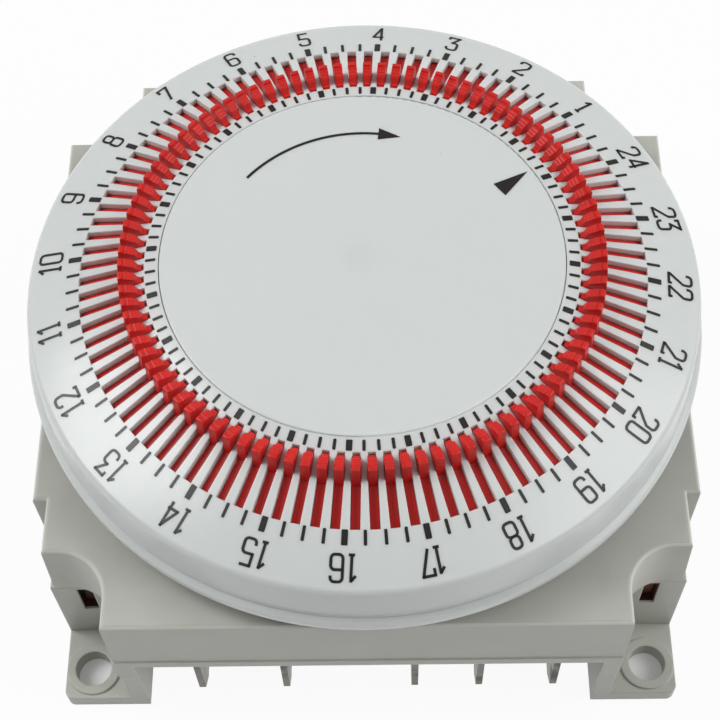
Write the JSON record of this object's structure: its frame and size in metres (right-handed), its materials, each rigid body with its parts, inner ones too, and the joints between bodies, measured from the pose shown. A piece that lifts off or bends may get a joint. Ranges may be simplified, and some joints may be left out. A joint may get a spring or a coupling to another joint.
{
  "type": "time switch",
  "caption": "Panel-mounted mechanical day time switch: square grey case with screw ears, push-on terminals and a large white dial ringed with red quarter-hour tappets.",
  "frame": {"origin": "on the dial's axis, in the plane of the undersides of the four screw ears", "axes": "+Z out of the dial, +Y away from the terminal side, +X to the right with the terminals towards the viewer"},
  "size_m": [0.079, 0.079, 0.0439],
  "materials": {
    "housing_grey": "matt moulded thermoplastic, warm light grey",
    "dial_white": "satin moulded thermoplastic, cool white",
    "tappet_red": "satin moulded acetal, bright red",
    "carrier_white": "moulded acetal",
    "bright_steel": "zinc-plated steel",
    "motor_zinc": "zinc-plated deep-drawn can",
    "mechanism_grey": "glass-filled moulding",
    "gear_natural": "natural acetal",
    "gear_brass": "turned",
    "terminal_brass": "dull stamped strip",
    "contact_silver": "silver contact metal"
  },
  "bodies": {
    "case": {"base_housing": "housing_grey", "top_cover": "housing_grey", "mechanism_plate": "mechanism_grey", "plate_screws": "bright_steel", "motor": "motor_zinc", "motor_screws": "bright_steel", "centre_post": "bright_steel", "post_clip": "bright_steel", "pointer_disc": "dial_white", "lever_pin": "bright_steel", "open_contact": "contact_silver", "closed_contact": "contact_silver", "line_terminal": "terminal_brass", "neutral_terminal": "terminal_brass", "common_terminal": "terminal_brass", "open_terminal": "terminal_brass", "closed_terminal": "terminal_brass"},
    "drive": {"dial_gear": "gear_natural", "clutch_spring": "bright_steel"},
    "dial": {"dial_ring": "dial_white", "tappet_carrier": "carrier_white", "tappet_wire": "bright_steel", "quarter_tappets": "tappet_red", "dial_hub": "carrier_white", "hub_screws": "bright_steel"},
    "arbor": {"arbor": "bright_steel", "arbor_wheel": "gear_natural", "dial_pinion": "gear_brass"},
    "motor_output": {"motor_shaft": "bright_steel", "motor_pinion": "gear_brass"},
    "feeler": {"feeler_lever": "gear_natural", "lever_arm": "gear_natural"},
    "slider": {"switch_slider": "gear_natural"},
    "blade": {"contact_blade": "terminal_brass", "moving_contact": "contact_silver"},
    "tappet_hour_00": {"tappet_hour_00": "tappet_red"},
    "tappet_hour_01": {"tappet_hour_01": "tappet_red"},
    "tappet_hour_02": {"tappet_hour_02": "tappet_red"},
    "tappet_hour_03": {"tappet_hour_03": "tappet_red"},
    "tappet_hour_04": {"tappet_hour_04": "tappet_red"},
    "tappet_hour_05": {"tappet_hour_05": "tappet_red"},
    "tappet_hour_06": {"tappet_hour_06": "tappet_red"},
    "tappet_hour_07": {"tappet_hour_07": "tappet_red"},
    "tappet_hour_08": {"tappet_hour_08": "tappet_red"},
    "tappet_hour_09": {"tappet_hour_09": "tappet_red"},
    "tappet_hour_10": {"tappet_hour_10": "tappet_red"},
    "tappet_hour_11": {"tappet_hour_11": "tappet_red"},
    "tappet_hour_12": {"tappet_hour_12": "tappet_red"},
    "tappet_hour_13": {"tappet_hour_13": "tappet_red"},
    "tappet_hour_14": {"tappet_hour_14": "tappet_red"},
    "tappet_hour_15": {"tappet_hour_15": "tappet_red"},
    "tappet_hour_16": {"tappet_hour_16": "tappet_red"},
    "tappet_hour_17": {"tappet_hour_17": "tappet_red"},
    "tappet_hour_18": {"tappet_hour_18": "tappet_red"},
    "tappet_hour_19": {"tappet_hour_19": "tappet_red"},
    "tappet_hour_20": {"tappet_hour_20": "tappet_red"},
    "tappet_hour_21": {"tappet_hour_21": "tappet_red"},
    "tappet_hour_22": {"tappet_hour_22": "tappet_red"},
    "tappet_hour_23": {"tappet_hour_23": "tappet_red"}
  },
  "joints": [
    {"name": "drive_turn", "type": "hinge", "parent": "case", "child": "drive", "pos_m": [0, 0, 0.032], "axis": [0, 0, -1], "continuous": true},
    {"name": "dial_set", "type": "hinge", "parent": "drive", "child": "dial", "pos_m": [0, 0, 0.036], "axis": [0, 0, -1], "continuous": true},
    {"name": "arbor_turn", "type": "hinge", "parent": "case", "child": "arbor", "pos_m": [-0.0199, 0.01049, 0.024], "axis": [0, 0, -1], "continuous": true},
    {"name": "motor_turn", "type": "hinge", "parent": "case", "child": "motor_output", "pos_m": [-0.008, 0.012, 0.018], "axis": [0, 0, -1], "continuous": true},
    {"name": "feeler_turn", "type": "hinge", "parent": "case", "child": "feeler", "pos_m": [0.03, -0.006, 0.024], "axis": [0, 0, 1], "range_deg": [0, 4.8], "stiffness_Nm_per_rad": 0.02},
    {"name": "slider_push", "type": "slide", "parent": "case", "child": "slider", "axis": [0, -1, 0], "range_m": [0, 0.001]},
    {"name": "blade_swing", "type": "hinge", "parent": "case", "child": "blade", "pos_m": [0.0065, -0.0216, 0.022], "axis": [0, 0, -1], "range_deg": [0, 5]},
    {"name": "flip_hour_00", "type": "hinge", "parent": "dial", "child": "tappet_hour_00", "pos_m": [0.02493, 0.0135, 0.03602], "axis": [-0.476, 0.8794, 0], "range_deg": [0, 30]},
    {"name": "flip_hour_01", "type": "hinge", "parent": "dial", "child": "tappet_hour_01", "pos_m": [0.02059, 0.01949, 0.03602], "axis": [-0.6874, 0.7263, 0], "range_deg": [0, 30]},
    {"name": "flip_hour_02", "type": "hinge", "parent": "dial", "child": "tappet_hour_02", "pos_m": [0.01484, 0.02415, 0.03602], "axis": [-0.852, 0.5236, 0], "range_deg": [0, 30]},
    {"name": "flip_hour_03", "type": "hinge", "parent": "dial", "child": "tappet_hour_03", "pos_m": [0.00809, 0.02717, 0.03602], "axis": [-0.9584, 0.2853, 0], "range_deg": [0, 30]},
    {"name": "flip_hour_04", "type": "hinge", "parent": "dial", "child": "tappet_hour_04", "pos_m": [0.00078, 0.02834, 0.03602], "axis": [-0.9996, 0.0275, 0], "range_deg": [0, 30]},
    {"name": "flip_hour_05", "type": "hinge", "parent": "dial", "child": "tappet_hour_05", "pos_m": [-0.00658, 0.02757, 0.03602], "axis": [-0.9727, -0.2322, 0], "range_deg": [0, 30]},
    {"name": "flip_hour_06", "type": "hinge", "parent": "dial", "child": "tappet_hour_06", "pos_m": [-0.0135, 0.02493, 0.03602], "axis": [-0.8794, -0.476, 0], "range_deg": [0, 30]},
    {"name": "flip_hour_07", "type": "hinge", "parent": "dial", "child": "tappet_hour_07", "pos_m": [-0.01949, 0.02059, 0.03602], "axis": [-0.7263, -0.6874, 0], "range_deg": [0, 30]},
    {"name": "flip_hour_08", "type": "hinge", "parent": "dial", "child": "tappet_hour_08", "pos_m": [-0.02415, 0.01484, 0.03602], "axis": [-0.5236, -0.852, 0], "range_deg": [0, 30]},
    {"name": "flip_hour_09", "type": "hinge", "parent": "dial", "child": "tappet_hour_09", "pos_m": [-0.02717, 0.00809, 0.03602], "axis": [-0.2853, -0.9584, 0], "range_deg": [0, 30]},
    {"name": "flip_hour_10", "type": "hinge", "parent": "dial", "child": "tappet_hour_10", "pos_m": [-0.02834, 0.00078, 0.03602], "axis": [-0.0275, -0.9996, 0], "range_deg": [0, 30]},
    {"name": "flip_hour_11", "type": "hinge", "parent": "dial", "child": "tappet_hour_11", "pos_m": [-0.02757, -0.00658, 0.03602], "axis": [0.2322, -0.9727, 0], "range_deg": [0, 30]},
    {"name": "flip_hour_12", "type": "hinge", "parent": "dial", "child": "tappet_hour_12", "pos_m": [-0.02493, -0.0135, 0.03602], "axis": [0.476, -0.8794, 0], "range_deg": [0, 30]},
    {"name": "flip_hour_13", "type": "hinge", "parent": "dial", "child": "tappet_hour_13", "pos_m": [-0.02059, -0.01949, 0.03602], "axis": [0.6874, -0.7263, 0], "range_deg": [0, 30]},
    {"name": "flip_hour_14", "type": "hinge", "parent": "dial", "child": "tappet_hour_14", "pos_m": [-0.01484, -0.02415, 0.03602], "axis": [0.852, -0.5236, 0], "range_deg": [0, 30]},
    {"name": "flip_hour_15", "type": "hinge", "parent": "dial", "child": "tappet_hour_15", "pos_m": [-0.00809, -0.02717, 0.03602], "axis": [0.9584, -0.2853, 0], "range_deg": [0, 30]},
    {"name": "flip_hour_16", "type": "hinge", "parent": "dial", "child": "tappet_hour_16", "pos_m": [-0.00078, -0.02834, 0.03602], "axis": [0.9996, -0.0275, 0], "range_deg": [0, 30]},
    {"name": "flip_hour_17", "type": "hinge", "parent": "dial", "child": "tappet_hour_17", "pos_m": [0.00658, -0.02757, 0.03602], "axis": [0.9727, 0.2322, 0], "range_deg": [0, 30]},
    {"name": "flip_hour_18", "type": "hinge", "parent": "dial", "child": "tappet_hour_18", "pos_m": [0.0135, -0.02493, 0.03602], "axis": [0.8794, 0.476, 0], "range_deg": [0, 30]},
    {"name": "flip_hour_19", "type": "hinge", "parent": "dial", "child": "tappet_hour_19", "pos_m": [0.01949, -0.02059, 0.03602], "axis": [0.7263, 0.6874, 0], "range_deg": [0, 30]},
    {"name": "flip_hour_20", "type": "hinge", "parent": "dial", "child": "tappet_hour_20", "pos_m": [0.02415, -0.01484, 0.03602], "axis": [0.5236, 0.852, 0], "range_deg": [0, 30]},
    {"name": "flip_hour_21", "type": "hinge", "parent": "dial", "child": "tappet_hour_21", "pos_m": [0.02717, -0.00809, 0.03602], "axis": [0.2853, 0.9584, 0], "range_deg": [0, 30]},
    {"name": "flip_hour_22", "type": "hinge", "parent": "dial", "child": "tappet_hour_22", "pos_m": [0.02834, -0.00078, 0.03602], "axis": [0.0275, 0.9996, 0], "range_deg": [0, 30]},
    {"name": "flip_hour_23", "type": "hinge", "parent": "dial", "child": "tappet_hour_23", "pos_m": [0.02757, 0.00658, 0.03602], "axis": [-0.2322, 0.9727, 0], "range_deg": [0, 30]}
  ],
  "couplings": [
    {"joint": "arbor_turn", "follows": "drive_turn", "ratio": -8},
    {"joint": "motor_turn", "follows": "drive_turn", "ratio": 40},
    {"joint": "slider_push", "follows": "feeler_turn", "m_per_rad": 0.0115},
    {"joint": "blade_swing", "follows": "feeler_turn", "ratio": 1}
  ]
}
